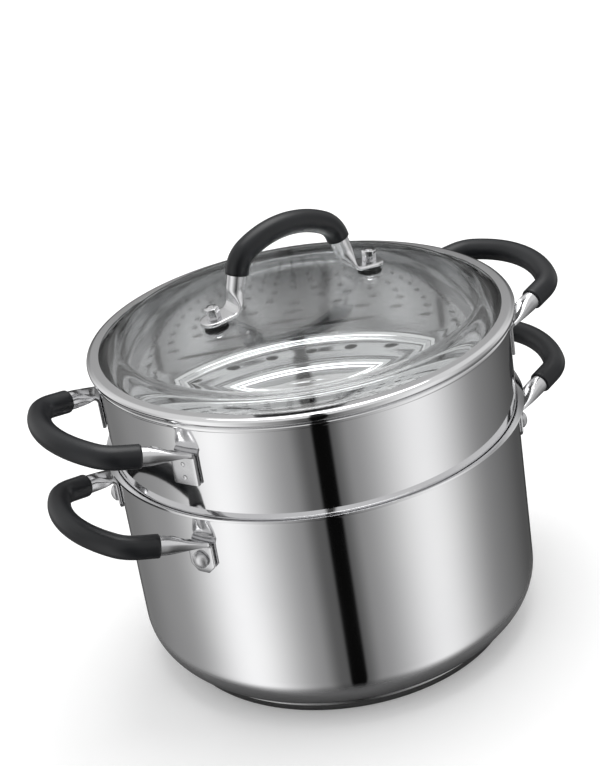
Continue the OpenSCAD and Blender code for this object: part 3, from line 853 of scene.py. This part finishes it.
def rivetHeads(bow, leftSide):
    headRadius, sagitta = rivet["head"] / 2, rivet["height"] - rivet["edge"]
    capRadius = (headRadius ** 2 + sagitta ** 2) / (2 * sagitta)
    capAngle = math.degrees(math.asin(headRadius / capRadius))
    foot, soft, shank = bow["flatTop"] + rivet["gap"], rivet["soft"], rivet["shank"] / 2
    line = [Vector((0, rivet["gap"])), Vector((shank, rivet["gap"])), Vector((shank, foot)),
            Vector((headRadius - soft, foot)), Vector((headRadius, foot + soft))]
    line += arcPoints((0, foot + rivet["height"] - capRadius), capRadius, 90 - capAngle, 90, steps=14)
    both = bmesh.new()
    for side in (1, -1):
        flip = Matrix.Diagonal((1, side, 1, 1))
        joinInto(both, spinOutline(line, steps=40, closed=False, matrix=flip @ axesMatrix(bow["axes"])))
    return onSide(both, leftSide)


def weldDimples(piece, bow, leftSide):
    cutter = bmesh.new()
    depth, half = dimple["depth"], dimple["size"] / 2
    ballRadius = (half ** 2 + depth ** 2) / (2 * depth)
    for side in (1, -1):
        for end in (-1, 1):
            place = Vector((end * dimple["apart"] / 2, 0, bow["flatTop"] - depth + ballRadius))
            matrix = Matrix.Diagonal((1, side, 1, 1)) @ axesMatrix(bow["axes"]) @ Matrix.Translation(place)
            bmesh.ops.create_uvsphere(cutter, u_segments=32, v_segments=24, radius=ballRadius, matrix=matrix)
    cutWith(piece, onSide(cutter, leftSide))


def makeSide(side, isLeft):
    potBow = sideBow(pot["out"], pot["height"], square=False)
    handlePair(("pot_tube_" + side, "pot_sleeve_" + side), ("pot_handle_" + side, "pot_grip_" + side),
               potBow, isLeft)
    newPiece("pot_studs_" + side, rivetHeads(potBow, isLeft), [rivetFinish], "pot_rivets_" + side)
    steamerBow = sideBow(steamer["out"], steamer["top"], square=True)
    steamerTube = handlePair(("steamer_tube_" + side, "steamer_sleeve_" + side),
                             ("steamer_handle_" + side, "steamer_grip_" + side), steamerBow, isLeft)
    weldDimples(steamerTube, steamerBow, isLeft)


makeSide("left", isLeft=True)
makeSide("right", isLeft=False)
print("side handles made")

# Lid

lid = {
    "glass": 4 * mm,
    "rise": 15 * mm,
    "power": 2.2,  # of the radius, in the dome's height
    "shoulderRise": 4.5 * mm,
    "shoulderWidth": 12 * mm,
    "band": 0.6 * mm,
    "cover": 4.7 * mm,
    "skirtDepth": 7 * mm,
    "skirtBend": 1 * mm,
    "skirtGap": 1.2 * mm,
    "slip": 0.1 * mm,
    "margin": 1 * mm,
    "edgeSoft": 0.8 * mm,
    "facesRound": 192,
}
lid["bandZ"] = steamer["top"] + steamer["seatGap"] + lid["band"] / 2
lid["skirt"] = pot["bore"] / 2 - lid["skirtGap"] - lid["band"] / 2
lid["bandTurn"] = (lid["glass"] + lid["band"]) / 2 + lid["slip"]
lid["out"] = pot["lipOut"] - lid["bandTurn"] - lid["band"] / 2
lid["glassZ"] = lid["bandZ"] + lid["band"] / 2 + lid["slip"]
lid["domeRadius"] = lid["out"] - lid["cover"] - lid["margin"]
lid["domeZ"] = lid["glassZ"] + lid["glass"]


def domeHeight(radius):
    share = min(1, (lid["domeRadius"] - radius) / lid["shoulderWidth"])
    shoulder = lid["shoulderRise"] * share * share * (3 - 2 * share)
    return lid["domeZ"] + lid["rise"] * (1 - (radius / lid["domeRadius"]) ** lid["power"]) + shoulder


lidHandle = {
    "boltSpan": 105 * mm,
    "footLead": 9.5 * mm,
    "footBend": 4 * mm,
    "height": 48 * mm,
    "toe": 16,
    "bend": 17 * mm,
    "crown": 29,
    "gripCover": 2.5 * mm,
    "pressShare": 0.66,
    "tabSupport": 2 * mm,
    "gasketThick": 1.6 * mm,
    "gasketSize": 14 * mm,
    "washerSize": 12 * mm,
    "washerThick": 1 * mm,
    "washerRim": 1.5 * mm,
    "gasketSoft": 0.3 * mm,
    "washerSoft": 0.2 * mm,
    "boltSize": 4 * mm,
    "boltHead": 2.6 * mm,
    "boltSoft": 1 * mm,
    "boltTip": 0.4 * mm,
    "boltPast": 0.5 * mm,  # how far it comes through the nut
    "nutWidth": 7.5 * mm,
    "nutHeight": 6.5 * mm,
    "nutSoft": 0.35 * mm,
    "holeSize": 7 * mm,
    "gap": 0.2 * mm,
}
lidHandle["boltRadius"] = lidHandle["boltSpan"] / 2
lidHandle["slope"] = math.atan(lid["rise"] * lid["power"] / lid["domeRadius"]
                               * (lidHandle["boltRadius"] / lid["domeRadius"]) ** (lid["power"] - 1))
lidHandle["flatMid"] = lidHandle["gasketThick"] + lidHandle["gap"] + tube["flatThick"] / 2


def boltAxes():
    slope, radius = lidHandle["slope"], lidHandle["boltRadius"]
    return (Vector((radius, 0, domeHeight(radius))), Vector((-math.cos(slope), 0, math.sin(slope))),
            Vector((0, -1, 0)), Vector((math.sin(slope), 0, math.cos(slope))))


def atBolts(makeOne, *sizes):  # the same small piece at both bolts
    both = bmesh.new()
    for side in (1, -1):
        one = makeOne(*sizes)
        one.transform(Matrix.Diagonal((side, 1, 1, 1)) @ axesMatrix(boltAxes()))
        joinInto(both, one)
    return both


def makeGlass():
    domeSteps, shoulderSteps = 32, 16
    shoulderStart = lid["domeRadius"] - lid["shoulderWidth"]
    radii = [shoulderStart * i / domeSteps for i in range(domeSteps)]
    radii += [shoulderStart + lid["shoulderWidth"] * i / shoulderSteps for i in range(shoulderSteps + 1)]
    outer = [Vector((r, domeHeight(r))) for r in radii]
    inner = [Vector((p.x, p.y - lid["glass"])) for p in outer]
    soft = lid["edgeSoft"]
    edge = [Vector((lid["out"] - soft, lid["domeZ"])), Vector((lid["out"], lid["domeZ"] - soft)),
            Vector((lid["out"], lid["glassZ"] + soft)), Vector((lid["out"] - soft, lid["glassZ"]))]
    bm = spinOutline(outer + edge + inner[::-1], lid["facesRound"], closed=False)
    piece = newPiece("glass_dome", bm, [glassFinish], "lid_glass", sharpAngle=25)
    cutter = bmesh.new()
    for side in (1, -1):
        place = Matrix.Diagonal((side, 1, 1, 1)) @ axesMatrix(boltAxes())
        addRod(cutter, lidHandle["holeSize"] / 2, 6 * lid["glass"], 40, place)
    cutWith(piece, cutter)
    piece.visible_shadow = False  # so that the lamp lights the insert through it


def makeBand():
    bandZ, turn = lid["bandZ"], lid["bandTurn"]
    skirt, skirtBend = lid["skirt"], lid["skirtBend"]
    line = [Vector((skirt, bandZ - lid["skirtDepth"]))]
    line += arcPoints((skirt + skirtBend, bandZ - skirtBend), skirtBend, 180, 90, steps=8)
    line += arcPoints((lid["out"], bandZ + turn), turn, -90, 90, steps=16)
    line.append(Vector((lid["out"] - lid["cover"], bandZ + 2 * turn)))
    outline = sheetOutline(supported(line, inset=0.5 * mm), lid["band"])
    bm = spinOutline(outline, lid["facesRound"], closed=True)
    newPiece("lid_rim", bm, [mirrorFinish], "lid_band")


def lidBow():
    slope, toe, crown = lidHandle["slope"], math.radians(lidHandle["toe"]), math.radians(lidHandle["crown"])
    lead, bendMid = lidHandle["footLead"], lidHandle["footBend"] + tube["flatThick"] / 2
    turn = math.pi / 2 - toe - slope
    axes = boltAxes()
    heading = Vector((math.cos(turn), 0, math.sin(turn)))
    half, tail = tube["flatWidth"] / 2, -tube["tail"]
    widths, tabSteps = [], 9
    for i in range(1, tabSteps + 1):  # the round end of the tab
        angle = math.pi / 2 * i / tabSteps
        widths.append((tail + half * (1 - math.cos(angle)), half * math.sin(angle), 1))
    widths.append((lidHandle["tabSupport"], half, 1))
    along, off = footEnd(lidHandle["flatMid"], heading, lead, bendMid)
    halfSpan = lidHandle["boltRadius"] - along * math.cos(slope) + off * math.sin(slope)
    reach = lidHandle["height"] - grip["radius"] - (off - lidHandle["flatMid"]) - tube["flatThick"]
    shape = bowShape(halfSpan, reach, toe, crown, lidHandle["bend"])
    pressLength = shape["leg"] - lidHandle["gripCover"] - tube["bare"]
    rings, start, startAxes = footRings(axes, lidHandle["flatMid"], heading, widths, lead, bendMid,
                                        pressLength, lidHandle["pressShare"])
    return {
        "foot": rings,
        "path": lambda cover: bowPath(start, startAxes, Vector((0, 1, 0)), shape, cover),
        "mirror": "X",
        "cover": lidHandle["gripCover"],
    }


def washerRing(outside, inside, low, thick, soft):
    line = [Vector((inside / 2, low)), Vector((outside / 2 - soft, low)), Vector((outside / 2, low + soft)),
            Vector((outside / 2, low + thick - soft)), Vector((outside / 2 - soft, low + thick)),
            Vector((inside / 2, low + thick))]
    return spinOutline(line, steps=48, closed=True)


def hexNut():
    bm = bmesh.new()
    low = lidHandle["flatMid"] + tube["flatThick"] / 2
    height, corner = lidHandle["nutHeight"], lidHandle["nutWidth"] / 2 / math.cos(math.pi / 6)
    addRod(bm, corner, height, 6, Matrix.Translation((0, 0, low + height / 2)))
    bmesh.ops.bevel(bm, geom=bm.edges[:], offset=lidHandle["nutSoft"], offset_type="OFFSET", segments=3,
                    profile=0.5, affect="EDGES", material=-1)
    return bm


def lidBolt():
    headTop = -lid["glass"] - lidHandle["gap"] - lidHandle["gasketThick"] - lidHandle["washerThick"]
    headRadius, radius = lidHandle["washerSize"] / 2 - lidHandle["washerRim"], lidHandle["boltSize"] / 2
    top = lidHandle["flatMid"] + tube["flatThick"] / 2 + lidHandle["nutHeight"] + lidHandle["boltPast"]
    soft, tip, low = lidHandle["boltSoft"], lidHandle["boltTip"], headTop - lidHandle["boltHead"]
    line = [Vector((0, low)), Vector((headRadius - soft, low)), Vector((headRadius, low + soft)),
            Vector((headRadius, headTop)), Vector((radius, headTop)), Vector((radius, top - tip)),
            Vector((radius - tip, top)), Vector((0, top))]
    return spinOutline(line, steps=40, closed=False)


def makeFasteners():
    newPiece("nut_pair", atBolts(hexNut), [fastenerFinish], "lid_nuts", sharpAngle=25)
    newPiece("bolt_pair", atBolts(lidBolt), [fastenerFinish], "lid_bolts")
    under, bore = -lid["glass"] - lidHandle["gap"], lidHandle["boltSize"] + 2 * lid["slip"]
    size, thick, soft = lidHandle["gasketSize"], lidHandle["gasketThick"], lidHandle["gasketSoft"]
    for name, low in (("upper", lidHandle["gap"] / 2), ("lower", under - thick)):
        rings = atBolts(washerRing, size, bore, low, thick, soft)
        newPiece(name + "_gaskets", rings, [gasketFinish], "lid_gaskets_" + name)
    washerThick = lidHandle["washerThick"]
    rings = atBolts(washerRing, lidHandle["washerSize"], bore, under - thick - washerThick, washerThick,
                    lidHandle["washerSoft"])
    newPiece("washer_pair", rings, [fastenerFinish], "lid_washers")


def makeLid():
    makeGlass()
    makeBand()
    handlePair(("lid_tube", "lid_sleeve"), ("lid_handle", "lid_grip"), lidBow())
    makeFasteners()


makeLid()
print("lid made")

# Studio

studio = {
    "floorSize": 12.0,
    "floorColour": (0.92, 0.92, 0.92, 1),
    "floorShadeInSteel": (0.22, 0.22, 0.22, 1),  # painted shade: the floor's colour as steel reflects it, darker than floorColour
    "floorGlow": (0.12, 0.28),  # near the pot and far from it
    "glowReach": (0.3, 1.6),
    "floorShown": (0.122, 0.150),  # steel shows the floor this near to the pot's middle, and the room past it
    "ambient": 0.86,
    # from here to shadeLevel: the room that steel shows, with its turns in degrees from the camera's side
    "softboxTurn": 58,
    "softboxWidth": 28.4,
    "softboxLevel": 0.88,
    "rearTurn": 126,
    "rearWidth": 22.0,
    "rearLevel": 0.62,
    "rearStart": (-0.36, -0.12),
    "roomLevel": 0.20,
    "behindLevel": 0.09,
    "edgeStart": (154, 168),  # what shows at the outline of the wall
    "edgeLevel": 0.30,
    "underStart": (-0.90, -0.62),  # straight below
    "underLevel": 0.45,
    "ceilingLevel": 0.80,
    "ceilingStart": (0.20, 0.60),
    "softboxLean": 0.0014,  # per degree, brighter on the left
    "sideStart": (105, 150),  # where the room gives way to what is behind the pot
    "leftStart": (-75, -125),
    "leftGlow": 0.11,
    "stripeTurn": 2.2,  # the dark stripe in front, a little to the right
    "stripe": (3.8, 6.0),
    "stripeLevel": 0.03,
    "stripeShade": (7.0, 17.0),
    "shadeLevel": 0.5,
    "lampPower": 9.0,
    "lampSize": 1.1,
    "lampPlace": (0.04, 0.25, 1.4),  # to the right, away and up
    "lampTarget": (0, 0, 0.1),
}


def lightPath(start, *names):
    outputs = start.node("ShaderNodeLightPath").socket.node.outputs
    return [Wire(start.tree, outputs[name]) for name in names]


def makeWorld():
    world = bpy.data.worlds.new("studio")
    scene.world = world
    world.use_nodes = True
    world.node_tree.nodes.clear()
    start = Wire(world.node_tree)
    x, y, z = start.node("ShaderNodeTexCoord", output=0).split()
    turn = math.radians(view["azimuth"])
    ahead = x * math.sin(turn) + y * -math.cos(turn)
    aside = x * math.cos(turn) + y * math.sin(turn)
    signed = x.maths("ARCTAN2", aside, ahead) * math.degrees(1)  # positive to the camera's right
    angle = x.maths("ABSOLUTE", signed)
    fromBox = (angle - studio["softboxTurn"]) / studio["softboxWidth"]
    softbox = x.maths("EXPONENT", fromBox * fromBox * -1.0) * (1 - signed * studio["softboxLean"])
    wall = softbox * studio["softboxLevel"] + angle.ramp(*studio["sideStart"], studio["roomLevel"],
                                                          studio["behindLevel"])
    wall = wall + signed.ramp(*studio["leftStart"], 0.0, studio["leftGlow"])
    fromRear = (angle - studio["rearTurn"]) / studio["rearWidth"]
    rearBox = x.maths("EXPONENT", fromRear * fromRear * -1.0) * z.ramp(*studio["rearStart"])
    fromStripe = x.maths("ABSOLUTE", signed - studio["stripeTurn"])
    stripe = fromStripe.ramp(*studio["stripe"], studio["stripeLevel"], 1.0)
    wall = wall * angle.ramp(*studio["stripeShade"], studio["shadeLevel"], 1.0)
    wall = wall * angle.ramp(*studio["edgeStart"], 1.0, studio["edgeLevel"])
    wall = wall * z.ramp(*studio["underStart"], studio["underLevel"], 1.0) + rearBox * studio["rearLevel"]
    height = z.ramp(*studio["ceilingStart"])
    room = (wall * (1 - height) + height * studio["ceilingLevel"]) * stripe
    isCamera, isTransmission, glossyDepth = lightPath(start, "Is Camera Ray", "Is Transmission Ray",
                                                      "Glossy Depth")
    isGlossy = glossyDepth.maths("GREATER_THAN", glossyDepth, 0.5)
    plain = studio["ambient"] + isCamera.maths("MAXIMUM", isCamera, isTransmission) * (1 - studio["ambient"])
    level = plain * (1 - isGlossy) + room * isGlossy
    background = level.node("ShaderNodeBackground", None, {"Color": (1, 1, 1, 1), "Strength": level})
    background.node("ShaderNodeOutputWorld", None, {"Surface": background})


def makeFloor():
    bm = bmesh.new()
    bmesh.ops.create_grid(bm, x_segments=1, y_segments=1, size=studio["floorSize"] / 2)
    mesh = bpy.data.meshes.new("floor")
    bm.to_mesh(mesh)
    bm.free()
    material, start = newMaterial("floor_white")
    radius = aboutAxis(start)[0]
    isCamera, isGlossy = lightPath(start, "Is Camera Ray", "Is Glossy Ray")
    glow = radius.ramp(*studio["glowReach"], *studio["floorGlow"]) * isCamera
    paint = start.node("ShaderNodeBsdfPrincipled", None, {
        # steel reflects the floor in a darker colour, a painted shade
        "Base Color": mixColour(isGlossy, studio["floorColour"], studio["floorShadeInSteel"]),
        "Roughness": 1.0,
        "Specular IOR Level": 0.0,
        "Emission Color": mixColour(glow, (0, 0, 0, 1), (1, 1, 1, 1)),
        "Emission Strength": 1.0,
    })
    clear = start.node("ShaderNodeBsdfTransparent")
    away = radius.ramp(*studio["floorShown"]) * isGlossy
    mixed = start.node("ShaderNodeMixShader", None, {0: away, 1: paint, 2: clear})
    start.node("ShaderNodeOutputMaterial", None, {"Surface": mixed})
    mesh.materials.append(material)
    floor = addObject("floor", mesh)


def makeLamp():
    data = bpy.data.lights.new("lamp", "AREA")
    data.shape = "DISK"
    data.size = studio["lampSize"]
    data.energy = studio["lampPower"]
    lamp = addObject("lamp", data)
    turn = math.radians(view["azimuth"])
    right = Vector((math.cos(turn), math.sin(turn), 0))
    away = Vector((-math.sin(turn), math.cos(turn), 0))
    aside, back, up = studio["lampPlace"]
    lamp.location = right * aside + away * back + Vector((0, 0, up))
    lamp.rotation_mode = "QUATERNION"
    lamp.rotation_quaternion = (Vector(studio["lampTarget"]) - lamp.location).to_track_quat("-Z", "Y")


makeWorld()
makeFloor()
makeLamp()
print("studio made")
